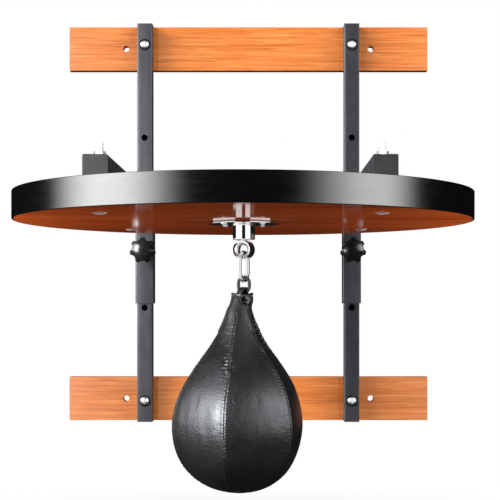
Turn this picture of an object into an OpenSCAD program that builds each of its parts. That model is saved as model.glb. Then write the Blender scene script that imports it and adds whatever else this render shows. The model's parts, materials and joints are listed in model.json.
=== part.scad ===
// Speed bag platform: a round board on two sleeves that slide on a wall frame,
// with a ball-bearing swivel, two chain links and a teardrop speed bag below it.
// Origin: centre of the four wall holes, on the wall plane. +Z up, +Y into the wall.
// Every size is in millimetres.

/* [Platform board] */
// Diameter over the rim band
board_d = 610; // [600:5:620]
// Thickness of the board
board_t = 36; // [32:1:40]
// Thickness of the rim band
rim_t = 2.5; // [1.5:0.5:4]
// Distance from the wall to the middle of the board
board_out = 380; // [375:1:390]

/* [Wall frame] */
// Distance between wall studs, centre to centre
stud_pitch = 406.4; // [400:0.1:407]
// Height between the upper and lower wall holes
wall_hole_rise = 581; // [575:1:585]
// Diameter of a wall hole
wall_hole_d = 10; // [6:0.5:12]
// Length of a wooden wall board
wall_board_l = 595; // [580:1:620]
// Height of a wooden wall board
wall_board_h = 72; // [68:1:76]
// Thickness of a wooden wall board
wall_board_t = 15; // [15:0.5:16]
// Side of a square upright tube
tube_side = 25; // [24:0.5:25]
// Wall thickness of every square tube
tube_wall = 2; // [1.5:0.1:2]
// Distance between the two uprights, centre to centre
tube_gap = 340; // [330:1:345]
// Height of an upright with its end caps
frame_h = 654; // [652:1:656]

/* [Height adjustment] */
// Number of adjusting holes in each upright
notch_count = 4; // [4]
// Distance between adjusting holes
notch_pitch = 93; // [90:1:93]
// Side of a sliding sleeve
sleeve_side = 30; // [30:0.5:31]
// Length of a sliding sleeve
sleeve_h = 186; // [180:1:190]
// Diameter of a star knob over its lobes
knob_d = 42; // [38:1:44]

/* [Arms] */
// Side of a square arm tube
arm_side = 30; // [28:1:30]
// How far an arm reaches in front of the board's middle
arm_reach = 199; // [190:1:205]
// Distance from the board's middle to each row of board bolts
board_bolt_y = 160; // [150:1:165]

/* [Swivel and links] */
// Diameter of the swivel's mounting plate
plate_d = 95; // [90:1:100]
// Circle on which the plate's screws stand
plate_pcd = 73; // [70:1:76]
// Diameter of the swivel's bearing housing
housing_d = 30; // [30:0.5:32]
// Number of bearing balls
ball_count = 12; // [8:1:12]
// Turn of the swivel eye about the vertical axis at rest
chain_yaw = -24; // [-90:1:90]

/* [Speed bag] */
// Height of the leather cover
bag_h = 266.7; // [260:0.1:268]
// Radius of the cover where it is widest
bag_r = 87; // [85:0.5:88]
// Thickness of the leather
leather_t = 2; // [1.5:0.1:2]
// Depth of the bag's top edge below the board
bag_drop = 96; // [95:0.5:97]

/* [Hidden] */
$fn = 64;
cut = 1;                       // how far a cutting solid runs past a face
fit_gap = 0.05;                // radial clearance of a shaft in its hole
bolt_d = 8;                    // every frame and board bolt
nut_flat = 13;                 // width across the flats of a bolt's nut
nut_h = 6.5;
washer_d = 16;
washer_t = 1.6;
front_washer_t = 1.2;
t_nut_d = 10;
t_nut_h = 9.5;
t_nut_flange = 19;
t_nut_depth = 0.4;             // how far a T-nut sits below the wall board's back

// Places that the driving dimensions fix
frame_bolt_z = 292;            // height of the bolts that hold the uprights
cap_t = 2.5;                   // flange of a tube end cap
tube_corner_r = 2.2;           // outer corner radius of every tube
upright_y = -(wall_board_t + tube_side / 2);
upright_front = upright_y - tube_side / 2;
sleeve_front = upright_y - sleeve_side / 2;
board_z = -22.5;               // underside of the board
notch_z0 = -notch_pitch * (notch_count - 1) / 2;
notch_d = 10.4;
lock_z = notch_z0 + notch_pitch;
sleeve_z0 = -132.5;
arm_z0 = board_z + board_t;
arm_front = -board_out - arm_reach;
board_bolt_top = arm_z0 + arm_side + 18.6;

// Lock screw and knob
lock_d = 10;
lock_nut_h = 8;
lock_nut_flat = 17;
lock_tip_y = sleeve_front + tube_wall;
knob_back_y = sleeve_front - lock_nut_h - 7.5;
knob_depth = 24;
knob_bore = 18.5;

// Swivel, measured down from the board
plate_t = 3;
housing_bottom = -24;
housing_floor = -19;
cavity_r = 11;
shank_r = 4;
ball_r = 1.75;
ball_ring_r = 7.5;
ball_z = -15;
collar_r = 10;
collar_t = 4;
collar_z = ball_z + ball_r + fit_gap;

// Eye, links and hanging loop, measured down from the board
eye_r = 12.5;                  // outer radius of the eye
saddle_r = 10;                 // the rounded bar of the eye that a link hangs on
saddle_ring_r = 16.2;
eye_z = -37.1;
link_gap = 0.2;                // air between hanging parts, so that none overlap
link_wire_r = 2.5;
link_bend_r = saddle_r + link_gap + link_wire_r;
link_top_z = eye_z - saddle_ring_r;
link_straight = 13;
bag_pivot_z = link_top_z - link_straight - link_bend_r;
lower_wire_r = 2.25;
lower_bend_r = 8;
lower_straight = 4.4;
lower_top_z = bag_pivot_z + link_wire_r + link_gap + lower_wire_r - lower_bend_r;
lower_bottom_z = lower_top_z - lower_straight;
loop_t = 3;
loop_w = 9;
loop_r = 11;
loop_top_z = lower_bottom_z - 3.4 + loop_t;

// Bag outline, as depths below its top edge
neck_r = 14;
neck_h = 15;
belly_depth = 178;
eyelet_depth = 9;
eyelet_turn = 12;              // the front eyelet's turn from straight ahead
eyelet_d = 11;
lace_turn = 78;                // the laced slit's turn from straight ahead
lace_depths = [42 : 6 : 66];

// ---------- shared shapes ----------

// A point at t on a cubic Bezier curve
function bezier(a, b, c, d, t) =
    pow(1 - t, 3) * a + 3 * t * pow(1 - t, 2) * b + 3 * t * t * (1 - t) * c + pow(t, 3) * d;

// The bag's outline [radius, height], moved inward by the amount given
function shoulder(inset, n = 16) = [
    for (i = [0 : n]) bezier(
        [neck_r - inset, -neck_h],
        [31.2 - inset, -87.2 - inset / 2],
        [bag_r - inset, -112.9 - inset / 2],
        [bag_r - inset, -belly_depth],
        i / n)
];
function belly(inset, n = 14) = [
    for (i = [1 : n]) bezier(
        [bag_r - inset, -belly_depth],
        [bag_r - inset, -belly_depth - 39],
        [60.1 - inset / 2, -bag_h + inset],
        [0, -bag_h + inset],
        i / n)
];

// The bladder's outline, with its own small neck
function bladder_line(inset, n = 12) = concat(
    [for (i = [0 : n]) bezier(
        [6 - inset, -48],
        [14 - inset, -100],
        [bag_r - 6 - inset, -118],
        [bag_r - 5.5 - inset, -belly_depth],
        i / n)],
    [for (i = [1 : n]) bezier(
        [bag_r - 5.5 - inset, -belly_depth],
        [bag_r - 5.5 - inset, -belly_depth - 36],
        [54 - inset / 2, -bag_h + 5 + inset],
        [0, -bag_h + 5 + inset],
        i / n)]
);

// Moves children to the middle of the board's underside
module at_board() {
    translate([0, -board_out, board_z]) children();
}

// Turns children to the rest direction of the swivel eye
module at_chain() {
    at_board() rotate([0, 0, chain_yaw]) children();
}

module at_bag() {
    at_board() translate([0, 0, -bag_drop]) children();
}

// Puts children at the four places where a bolt passes an upright
module at_frame_bolts() {
    for (x = [-1, 1], z = [-1, 1])
        translate([x * tube_gap / 2, 0, z * frame_bolt_z]) children();
}

// Puts children at the four board bolts, on the board's underside
module at_board_bolts() {
    for (x = [-1, 1], y = [-1, 1])
        at_board() translate([x * tube_gap / 2, y * board_bolt_y, 0]) children();
}

module at_plate_screws() {
    for (a = [45 : 90 : 315])
        at_board() rotate([0, 0, a]) translate([plate_pcd / 2, 0, -plate_t]) children();
}

// The outline of a square with rounded corners, each a run of short flats
function rounded_square(side, r, steps = 4) = [
    for (corner = [0 : 3], i = [0 : steps])
        let (a = 90 * (corner + i / steps), turn = 90 * corner + 45, reach = side / 2 - r)
            [
                sign(cos(turn)) * reach + r * cos(a),
                sign(sin(turn)) * reach + r * sin(a)
            ]
];

// A square tube standing on z = 0
module square_tube(side, length) {
    inside = side - 2 * tube_wall;
    difference() {
        linear_extrude(length) polygon(rounded_square(side, tube_corner_r));
        translate([-inside / 2, -inside / 2, -cut]) cube([inside, inside, length + 2 * cut]);
    }
}

// A plug for a square tube: a flange below z = 0 and a stub above it
module tube_plug(side) {
    inside = side - 2 * tube_wall - 0.2;
    translate([0, 0, -cap_t]) linear_extrude(cap_t) polygon(rounded_square(side, tube_corner_r));
    translate([-inside / 2, -inside / 2, 0]) cube([inside, inside, 12]);
}

module tube_along_z(r, z0, z1) {
    translate([0, 0, z0]) cylinder(r = r, h = z1 - z0);
}

module hex_nut(flat, height, bore) {
    difference() {
        cylinder(d = flat / cos(30), h = height, $fn = 6);
        translate([0, 0, -cut]) cylinder(d = bore, h = height + 2 * cut);
    }
}

// A domed screw head with a cross recess, standing on z = 0
module pan_head(d, height, recess) {
    dome_r = (d * d / 4 + height * height) / (2 * height);
    difference() {
        intersection() {
            translate([0, 0, height - dome_r]) sphere(r = dome_r);
            cylinder(d = d * 0.96, h = height + cut);
        }
        for (a = [0, 90])
            rotate([0, 0, a])
                translate([-recess / 2, -d * 0.06, height * 0.45]) cube([recess, d * 0.12, height]);
    }
}

// A closed link in the XZ plane: its upper bend is centred on z = 0
module oblong_link(bend_r, wire_r, straight) {
    for (end = [0, 1])
        translate([0, 0, -end * straight])
            mirror([0, 0, end])
                rotate([90, 0, 0])
                    rotate_extrude(angle = 180) translate([bend_r, 0]) circle(r = wire_r, $fn = 32);
    for (x = [-bend_r, bend_r])
        translate([x, 0, -straight]) cylinder(r = wire_r, h = straight, $fn = 32);
}

// ---------- wall frame ----------

// One wooden board: level is 1 for the upper board and -1 for the lower one
module wall_board(level) {
    z = level * wall_hole_rise / 2;
    color("peru") difference() {
        translate([-wall_board_l / 2, -wall_board_t, z - wall_board_h / 2])
            cube([wall_board_l, wall_board_t, wall_board_h]);
        for (x = [-1, 1]) {
            translate([x * stud_pitch / 2, cut, z])
                rotate([90, 0, 0]) cylinder(d = wall_hole_d, h = wall_board_t + 2 * cut);
            translate([x * tube_gap / 2, cut, level * frame_bolt_z])
                rotate([90, 0, 0]) {
                    cylinder(d = bolt_d + 0.4, h = wall_board_t + 2 * cut);
                    cylinder(d = t_nut_d + 0.1, h = t_nut_h + t_nut_depth + cut);
                    cylinder(d = t_nut_flange + 1, h = 2 + cut);
                }
        }
    }
}

module upright(side) {
    color("dimgray") difference() {
        translate([side * tube_gap / 2, upright_y, -frame_h / 2 + cap_t])
            square_tube(tube_side, frame_h - 2 * cap_t);
        for (i = [0 : notch_count - 1])
            translate([side * tube_gap / 2, upright_front + tube_wall + cut, notch_z0 + i * notch_pitch])
                rotate([90, 0, 0]) cylinder(d = notch_d, h = tube_wall + 2 * cut);
        for (z = [-1, 1])
            translate([side * tube_gap / 2, -wall_board_t + cut, z * frame_bolt_z])
                rotate([90, 0, 0]) cylinder(d = bolt_d + 0.4, h = tube_side + 2 * cut);
    }
}

module upright_end_caps() {
    color("black")
        for (x = [-1, 1], z = [0, 1])
            translate([x * tube_gap / 2, upright_y, 0])
                mirror([0, 0, z]) translate([0, 0, -frame_h / 2 + cap_t]) tube_plug(tube_side);
}

module upright_bolts() {
    shank = front_washer_t + tube_side + wall_board_t - 3;
    color("silver") at_frame_bolts()
        translate([0, upright_front - front_washer_t, 0]) rotate([90, 0, 0]) {
            pan_head(14.5, 4.5, 9);
            translate([0, 0, -shank]) cylinder(d = bolt_d, h = shank);
        }
}

module upright_bolt_washers() {
    color("dimgray") at_frame_bolts()
        translate([0, upright_front, 0]) rotate([90, 0, 0])
            difference() {
                cylinder(d = 18, h = front_washer_t);
                translate([0, 0, -cut])
                    cylinder(d = bolt_d + 2 * fit_gap, h = front_washer_t + 2 * cut);
            }
}

// A flanged threaded insert in the back of each wall board
module upright_t_nuts() {
    color("silver") at_frame_bolts()
        translate([0, -t_nut_depth, 0]) rotate([90, 0, 0])
            difference() {
                union() {
                    cylinder(d = t_nut_flange, h = 1.5);
                    cylinder(d = t_nut_d, h = t_nut_h);
                }
                translate([0, 0, -cut]) cylinder(d = bolt_d + 2 * fit_gap, h = t_nut_h + 2 * cut);
            }
}

// ---------- sliding carriage ----------

module sleeve(side) {
    color("dimgray") difference() {
        translate([side * tube_gap / 2, upright_y, sleeve_z0]) square_tube(sleeve_side, sleeve_h);
        translate([side * tube_gap / 2, lock_tip_y + cut, lock_z])
            rotate([90, 0, 0]) cylinder(d = notch_d, h = tube_wall + 2 * cut);
    }
}

module arm(side) {
    length = sleeve_front - arm_front - cap_t;
    color("dimgray") difference() {
        translate([side * tube_gap / 2, sleeve_front, arm_z0 + arm_side / 2])
            rotate([90, 0, 0]) square_tube(arm_side, length);
        for (y = [-1, 1])
            translate([side * tube_gap / 2, -board_out + y * board_bolt_y, arm_z0 - cut])
                cylinder(d = bolt_d + 0.4, h = arm_side + 2 * cut);
    }
}

module arm_end_caps() {
    color("black")
        for (x = [-1, 1])
            translate([x * tube_gap / 2, arm_front + cap_t, arm_z0 + arm_side / 2])
                rotate([-90, 0, 0]) tube_plug(arm_side);
}

module lock_weld_nuts() {
    color("dimgray")
        for (x = [-1, 1])
            translate([x * tube_gap / 2, sleeve_front, lock_z])
                rotate([90, 0, 0]) hex_nut(lock_nut_flat, lock_nut_h, lock_d + 2 * fit_gap);
}

module platform_board() {
    color("saddlebrown") difference() {
        at_board() cylinder(r = board_d / 2 - rim_t - fit_gap, h = board_t, $fn = 128);
        at_board_bolts() translate([0, 0, -cut]) cylinder(d = bolt_d + 0.3, h = board_t + 2 * cut);
        at_plate_screws() cylinder(d = 4.6, h = plate_t + 18);
    }
}

module rim_band() {
    color("black") at_board() difference() {
        cylinder(d = board_d, h = board_t, $fn = 128);
        translate([0, 0, -cut]) cylinder(r = board_d / 2 - rim_t, h = board_t + 2 * cut, $fn = 128);
    }
}

// Domed heads under the board, shanks through board and arm
module board_bolts() {
    head_r = 9;
    head_h = 1.6;
    dome_r = (head_r * head_r + head_h * head_h) / (2 * head_h);
    color("silver") at_board_bolts() {
        intersection() {
            translate([0, 0, dome_r - head_h]) sphere(r = dome_r);
            translate([0, 0, -head_h]) cylinder(r = head_r, h = head_h);
        }
        cylinder(d = bolt_d, h = board_bolt_top - board_z);
    }
}

module board_washers() {
    color("silver") at_board_bolts()
        translate([0, 0, board_t + arm_side]) difference() {
            cylinder(d = washer_d, h = washer_t);
            translate([0, 0, -cut]) cylinder(d = bolt_d + 0.4, h = washer_t + 2 * cut);
        }
}

module board_nuts() {
    color("silver") at_board_bolts()
        translate([0, 0, board_t + arm_side + washer_t])
            hex_nut(nut_flat, nut_h, bolt_d + 2 * fit_gap);
}

// ---------- swivel ----------

module swivel_plate() {
    color("silver") difference() {
        at_board() translate([0, 0, -plate_t]) cylinder(d = plate_d, h = plate_t, $fn = 96);
        at_board() translate([0, 0, -plate_t - cut]) cylinder(r = cavity_r, h = plate_t + 2 * cut);
        at_plate_screws() translate([0, 0, -cut]) cylinder(d = 5, h = plate_t + 2 * cut);
    }
}

// A cup that carries the bearing, with a weld collar against the plate
module swivel_housing() {
    edge = 1.2;
    r = housing_d / 2;
    color("silver") at_board() difference() {
        union() {
            translate([0, 0, housing_bottom]) cylinder(r1 = r - edge, r2 = r, h = edge);
            tube_along_z(r, housing_bottom + edge, -plate_t);
            translate([0, 0, -plate_t - 2]) cylinder(r1 = r, r2 = r + 2, h = 2);
        }
        tube_along_z(cavity_r, housing_floor, -plate_t + cut);
        tube_along_z(shank_r + 0.4, housing_bottom - cut, housing_floor + cut);
    }
}

module swivel_screws() {
    color("silver") at_plate_screws() {
        mirror([0, 0, 1]) pan_head(9, 2.4, 5.6);
        cylinder(d = 4.5, h = plate_t + 17);
    }
}

// The lower race, with a groove for the balls
module bearing_race() {
    color("gray") at_board() difference() {
        tube_along_z(cavity_r - 0.1, housing_floor, ball_z - 1);
        tube_along_z(shank_r + 0.6, housing_floor - cut, ball_z + cut);
        translate([0, 0, ball_z])
            rotate_extrude() translate([ball_ring_r, 0]) circle(r = ball_r + fit_gap, $fn = 32);
    }
}

module bearing_balls() {
    color("silver") at_board()
        for (i = [0 : ball_count - 1])
            rotate([0, 0, i * 360 / ball_count])
                translate([ball_ring_r, 0, ball_z]) sphere(r = ball_r, $fn = 32);
}

// The eye hangs from a shank that turns in the bearing
module swivel_eye() {
    eye_round = 15;
    color("silver") at_chain() union() {
        translate([0, 0, eye_z]) intersection() {
            rotate([90, 0, 0]) rotate_extrude() translate([saddle_ring_r, 0]) circle(r = saddle_r);
            rotate([90, 0, 0]) cylinder(r = eye_r, h = 4 * saddle_r, center = true);
            sphere(r = eye_round);
        }
        tube_along_z(shank_r, eye_z + eye_r - 2.5, collar_z + collar_t + 2);
    }
}

module swivel_collar_nut() {
    color("silver") at_chain() difference() {
        tube_along_z(collar_r, collar_z, collar_z + collar_t);
        tube_along_z(shank_r + fit_gap, collar_z - cut, collar_z + collar_t + cut);
    }
}

module upper_link() {
    color("silver") at_chain() translate([0, 0, link_top_z])
        rotate([0, 0, 90]) oblong_link(link_bend_r, link_wire_r, link_straight);
}

// ---------- bag ----------

module lower_link() {
    color("dimgray") at_chain() translate([0, 0, lower_top_z])
        oblong_link(lower_bend_r, lower_wire_r, lower_straight);
}

// A leather strap bent over the lower link and sewn inside the neck
module bag_loop() {
    leg = 7;
    color("black") at_chain() translate([0, 0, loop_top_z - loop_r]) rotate([0, 0, 90]) {
        rotate([90, 0, 0])
            rotate_extrude(angle = 180) translate([loop_r - loop_t, -loop_w / 2]) square([loop_t, loop_w]);
        for (x = [-loop_r, loop_r - loop_t])
            translate([x, -loop_w / 2, -leg]) cube([loop_t, loop_w, leg]);
    }
}

module at_eyelet(side) {
    at_bag() rotate([0, 0, eyelet_turn]) translate([0, 0, -eyelet_depth])
        rotate([90, 0, side * 180]) children();
}

module bag_cover() {
    outside = concat([[neck_r, 0]], shoulder(0), belly(0));
    inside = concat([[neck_r - leather_t, cut]], shoulder(leather_t), belly(leather_t));
    color("#202022") difference() {
        at_bag() rotate_extrude($fn = 96) polygon(concat([[0, 0]], outside));
        at_bag() rotate_extrude($fn = 96) polygon(concat([[0, cut]], inside));
        for (side = [0, 1])
            at_eyelet(side) cylinder(d = 6.2, h = neck_r + 2);
    }
}

// Metal eyelets in the front and back of the neck
module bag_eyelets() {
    ring_t = 1.1;
    color("dimgray")
        for (side = [0, 1]) at_eyelet(side) difference() {
            union() {
                cylinder(d = 6, h = neck_r + ring_t);
                cylinder(d = eyelet_d, h = neck_r + ring_t + 1);
            }
            rotate([90, 0, 0]) cylinder(r = neck_r - leather_t, h = 40, center = true);
            translate([0, 0, -cut]) cylinder(d = 4, h = 30);
            eyelet_waste(ring_t);
        }
}

// What an eyelet's blank loses: the leather's space beside the barrel, and all beyond the flange
module eyelet_waste(ring_t) {
    difference() {
        rotate([90, 0, 0]) cylinder(r = neck_r + fit_gap, h = 40, center = true);
        cylinder(d = 6, h = 40);
    }
    difference() {
        rotate([90, 0, 0]) cylinder(r = 40, h = 40, center = true);
        rotate([90, 0, 0]) cylinder(r = neck_r + ring_t, h = 42, center = true);
    }
}

// Short turns of cord that close the slit below the neck
module bag_lace() {
    cord_r = 1;
    color("black") at_bag() rotate([0, 0, lace_turn])
        for (d = lace_depths)
            translate([0, -slope_r(d) - cord_r - 0.4, -d])
                rotate([0, 90, 0]) cylinder(r = cord_r, h = 9, center = true, $fn = 24);
}

// The cover's radius at a depth on its upper slope
function slope_r(depth) = lookup(-depth, [for (p = shoulder(0)) [p[1], p[0]]]);

module bag_bladder() {
    color("black") at_bag() difference() {
        rotate_extrude($fn = 64) polygon(concat([[0, -48]], bladder_line(0)));
        rotate_extrude($fn = 64) polygon(concat([[0, -47], [4.3, -47]], bladder_line(1.7)));
    }
}

module bladder_valve() {
    color("black") at_bag() difference() {
        union() {
            tube_along_z(4.25, -62, -47);
            tube_along_z(6, -47.9, -46);
        }
        tube_along_z(1, -63, -45);
    }
}

// ---------- lock screws and knobs ----------

module lock_screw(side) {
    length = lock_tip_y - knob_back_y + knob_bore - 0.5;
    color("silver") translate([side * tube_gap / 2, lock_tip_y, lock_z])
        rotate([90, 0, 0]) cylinder(d = lock_d, h = length);
}

module lock_knob(side) {
    hub_h = 9;
    lobes = 7;
    dome_r = 26;
    color("black") translate([side * tube_gap / 2, knob_back_y, lock_z])
        rotate([90, 0, 0]) difference() {
            union() {
                cylinder(r1 = 9, r2 = 12, h = hub_h);
                intersection() {
                    translate([0, 0, hub_h - 3]) cylinder(d = knob_d, h = knob_depth);
                    translate([0, 0, knob_depth - dome_r]) sphere(r = dome_r);
                }
            }
            for (i = [0 : lobes - 1])
                rotate([0, 0, (i + 0.25) * 360 / lobes])
                    translate([0.58 * knob_d, 0, -cut])
                        cylinder(d = 0.36 * knob_d, h = knob_depth + 2 * cut);
            translate([0, 0, -cut]) cylinder(d = lock_d + 2 * fit_gap, h = knob_bore + cut);
        }
}

// ---------- the object ----------

wall_board(1);  // top_wall_board
wall_board(-1);  // bottom_wall_board
upright(-1);  // left_upright
upright(1);  // right_upright
upright_end_caps();
upright_bolts();
upright_bolt_washers();
upright_t_nuts();
sleeve(-1);  // left_sleeve
sleeve(1);  // right_sleeve
arm(-1);  // left_arm
arm(1);  // right_arm
arm_end_caps();
lock_weld_nuts();
platform_board();
rim_band();
board_bolts();
board_washers();
board_nuts();
swivel_plate();
swivel_housing();
swivel_screws();
bearing_race();
bearing_balls();
lock_screw(-1);  // left_lock_screw
lock_screw(1);  // right_lock_screw
lock_knob(-1);  // left_lock_knob
lock_knob(1);  // right_lock_knob
swivel_eye();
swivel_collar_nut();
upper_link();
lower_link();
bag_loop();
bag_cover();
bag_eyelets();
bag_lace();
bag_bladder();
bladder_valve();
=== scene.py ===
"""Speed bag platform: finishes, leather bag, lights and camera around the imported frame. Metres, +Z up."""

import json
import math

import bpy
import numpy as np
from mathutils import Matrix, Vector


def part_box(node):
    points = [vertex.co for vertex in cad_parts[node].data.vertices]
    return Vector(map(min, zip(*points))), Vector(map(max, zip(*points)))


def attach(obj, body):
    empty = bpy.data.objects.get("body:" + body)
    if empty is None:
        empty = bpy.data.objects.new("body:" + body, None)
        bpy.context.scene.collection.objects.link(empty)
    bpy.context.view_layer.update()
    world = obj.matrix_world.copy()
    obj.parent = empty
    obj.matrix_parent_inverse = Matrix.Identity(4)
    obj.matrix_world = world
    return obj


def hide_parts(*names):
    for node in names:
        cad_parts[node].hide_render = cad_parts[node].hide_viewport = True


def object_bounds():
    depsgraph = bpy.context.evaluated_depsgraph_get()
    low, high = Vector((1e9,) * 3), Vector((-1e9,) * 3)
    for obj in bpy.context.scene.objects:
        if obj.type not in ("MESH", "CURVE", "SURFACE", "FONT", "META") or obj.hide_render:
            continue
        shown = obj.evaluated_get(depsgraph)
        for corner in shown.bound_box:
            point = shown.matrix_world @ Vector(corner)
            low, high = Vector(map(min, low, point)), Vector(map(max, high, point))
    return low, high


MM = 0.001
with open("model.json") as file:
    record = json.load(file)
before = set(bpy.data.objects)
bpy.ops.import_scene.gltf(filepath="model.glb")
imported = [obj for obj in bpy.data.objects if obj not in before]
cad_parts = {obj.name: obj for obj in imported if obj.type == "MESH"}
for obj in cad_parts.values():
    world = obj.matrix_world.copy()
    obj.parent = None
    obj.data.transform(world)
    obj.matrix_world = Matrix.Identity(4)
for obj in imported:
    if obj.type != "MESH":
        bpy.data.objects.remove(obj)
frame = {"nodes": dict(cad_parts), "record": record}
cad_low, cad_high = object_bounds()


# ---------------------------------------------------------------- finishes

class Nodes:
    """Short ways to add and link shader nodes in one node tree."""

    def __init__(self, tree, place_socket):
        self.tree = tree
        self.tree.nodes.clear()
        self.place = self.add("ShaderNodeTexCoord").outputs[place_socket]

    def feed(self, socket, value):
        if isinstance(value, bpy.types.NodeSocket):
            self.tree.links.new(value, socket)
        elif socket.type == "RGBA":
            socket.default_value = (*value, 1.0)
        else:
            socket.default_value = value

    def add(self, kind, inputs=None, **settings):
        made = self.tree.nodes.new(kind)
        for name, value in settings.items():
            setattr(made, name, value)
        for socket, value in (inputs or {}).items():
            self.feed(made.inputs[socket], value)
        return made

    def maths(self, operation, a, b=0.0):
        return self.add("ShaderNodeMath", {0: a, 1: b}, operation=operation).outputs[0]

    def between(self, value, low, high, to_low=0.0, to_high=1.0, smooth=False):
        inputs = {"Value": value, "From Min": low, "From Max": high, "To Min": to_low, "To Max": to_high}
        kind = "SMOOTHSTEP" if smooth else "LINEAR"
        return self.add("ShaderNodeMapRange", inputs, interpolation_type=kind).outputs[0]


class Finish(Nodes):
    """A procedural material under construction, with one Principled shader."""

    def __init__(self, name, **values):
        self.name = name
        self.material = bpy.data.materials.new(name)
        self.material.use_nodes = True
        super().__init__(self.material.node_tree, "Object")
        self.shader = self.add("ShaderNodeBsdfPrincipled")
        self.output = self.add("ShaderNodeOutputMaterial", {"Surface": self.shader.outputs["BSDF"]})
        for socket, value in values.items():
            self.set(socket.replace("_", " "), value)

    def set(self, socket, value):
        self.feed(self.shader.inputs[socket], value)

    def stretched(self, x, y, z):
        """The row frame's coordinates, multiplied along each axis."""
        return self.add("ShaderNodeMapping", {"Vector": self.place, "Scale": (x, y, z)}).outputs[0]

    def noise(self, scale, detail=3.0, roughness=0.55, vector=None, distortion=0.0):
        inputs = {"Vector": vector or self.place, "Scale": scale, "Detail": detail,
                  "Roughness": roughness, "Distortion": distortion}
        return self.add("ShaderNodeTexNoise", inputs).outputs["Fac"]

    def grain(self, stretch, detail=2.0, roughness=0.5, distortion=0.0):
        """Noise with its own fineness along each axis."""
        return self.noise(1.0, detail, roughness, self.stretched(*stretch), distortion)

    def mix(self, factor, a, b):
        return self.add("ShaderNodeMix", {0: factor, 6: a, 7: b}, data_type="RGBA").outputs[2]

    def bump(self, height, strength, distance, normal=None):
        inputs = {"Height": height, "Strength": strength, "Distance": distance}
        if normal is not None:
            inputs["Normal"] = normal
        return self.add("ShaderNodeBump", inputs).outputs[0]

    def glow_or_clear(self, clear_where, colour):
        """Makes the finish a glow that lights nothing, and is clear where a socket says so."""
        glow = self.add("ShaderNodeEmission", {"Color": colour})
        clear = self.add("ShaderNodeBsdfTransparent")
        shaders = {0: clear_where, 1: glow.outputs[0], 2: clear.outputs[0]}
        self.feed(self.output.inputs["Surface"], self.add("ShaderNodeMixShader", shaders).outputs[0])
        self.material.cycles.emission_sampling = "NONE"


def clouded(name, pattern, dark, bright, low, high, **values):
    """A finish whose colour and roughness follow one noise. The pattern is its scale, detail and roughness."""
    finish = Finish(name, **values)
    cloud = finish.noise(*pattern)
    finish.set("Base Color", finish.mix(cloud, dark, bright))
    finish.set("Roughness", finish.between(cloud, 0.3, 0.7, low, high))
    return finish


def varnished_wood():
    """Orange-brown varnished board: soft clouds, fine wavy streaks and short dark pores along X."""
    wood = Finish("varnished_wood", Specular_IOR_Level=0.45)
    streaks = wood.grain((11.0, 60.0, 290.0), 3.0, 0.55, 0.9)
    clouds = wood.grain((4.0, 20.0, 75.0), distortion=0.6)
    pores = wood.grain((40.0, 300.0, 900.0))
    tone = wood.grain((3.0, 6.0, 14.0))
    light = wood.mix(tone, (0.74, 0.182, 0.030), (0.89, 0.272, 0.056))
    figured = wood.mix(wood.between(clouds, 0.5, 0.72, 0.0, 0.6), light, (0.56, 0.125, 0.018))
    pale = wood.mix(wood.between(streaks, 0.52, 0.72, 0.0, 0.6), figured, (1.0, 0.44, 0.14))
    streaked = wood.mix(wood.between(streaks, 0.30, 0.47, 0.6, 0.0), pale, (0.46, 0.10, 0.016))
    pored = wood.mix(wood.between(pores, 0.64, 0.74, 0.0, 0.35), streaked, (0.30, 0.07, 0.012))
    wood.set("Base Color", pored)
    wood.set("Roughness", wood.between(streaks, 0.3, 0.7, 0.30, 0.42))
    wood.set("Coat Weight", 0.35)
    wood.set("Coat Roughness", 0.18)
    wood.set("Normal", wood.bump(wood.maths("ADD", streaks, pores), 0.12, 0.0004))
    return wood


def board_wood():
    """Dark red-brown wood under a thick high-gloss lacquer."""
    wood = Finish("board_wood", Roughness=0.4, Specular_IOR_Level=0.0)
    clouds = wood.grain((2.2, 30.0, 12.0), 3.0, 0.55, 0.8)
    streaks = wood.grain((7.0, 190.0, 60.0), 4.0, 0.6, 0.5)
    tone = wood.grain((2.0, 7.0, 5.0))
    light = wood.mix(tone, (0.158, 0.0235, 0.0042), (0.242, 0.0450, 0.0085))
    figured = wood.mix(wood.between(clouds, 0.5, 0.72, 0.0, 0.7), light, (0.080, 0.009, 0.002))
    streaked = wood.mix(wood.between(streaks, 0.5, 0.8, 0.0, 0.6), figured, (0.065, 0.008, 0.002))
    wood.set("Base Color", streaked)
    wood.set("Coat Weight", 0.7)
    wood.set("Coat Roughness", 0.07)
    wood.set("Coat Normal", wood.bump(wood.noise(9.0, 2.0), 0.06, 0.002))
    wood.set("Normal", wood.bump(streaks, 0.1, 0.0003))
    return wood


def black_rim():
    """Glossy black edge banding with a faint waviness."""
    rim = Finish("black_rim", Specular_IOR_Level=0.9)
    scuffs = rim.grain((30.0, 30.0, 400.0), 4.0, 0.6)
    rim.set("Base Color", rim.mix(scuffs, (0.0015, 0.0015, 0.002), (0.004, 0.004, 0.0045)))
    rim.set("Roughness", rim.between(scuffs, 0.3, 0.75, 0.15, 0.22))
    rim.set("Normal", rim.bump(rim.noise(14.0, 2.0), 0.05, 0.002))
    return rim


def powder_coat():
    """Satin charcoal powder coat with a fine orange-peel grain."""
    coat = clouded("powder_coat", (38.0, 4.0, 0.6),
                   (0.024, 0.024, 0.029), (0.040, 0.040, 0.047), 0.36, 0.46)
    coat.set("Normal", coat.bump(coat.noise(1700.0, 2.0, 0.6), 0.28, 0.0003))
    return coat


def black_plastic():
    """Matt injection-moulded plastic with a spark-eroded texture."""
    plastic = clouded("black_plastic", (60.0, 3.0),
                      (0.028, 0.028, 0.031), (0.042, 0.042, 0.046), 0.42, 0.55)
    plastic.set("Normal", plastic.bump(plastic.noise(2400.0, 2.0), 0.2, 0.0002))
    return plastic


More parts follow.
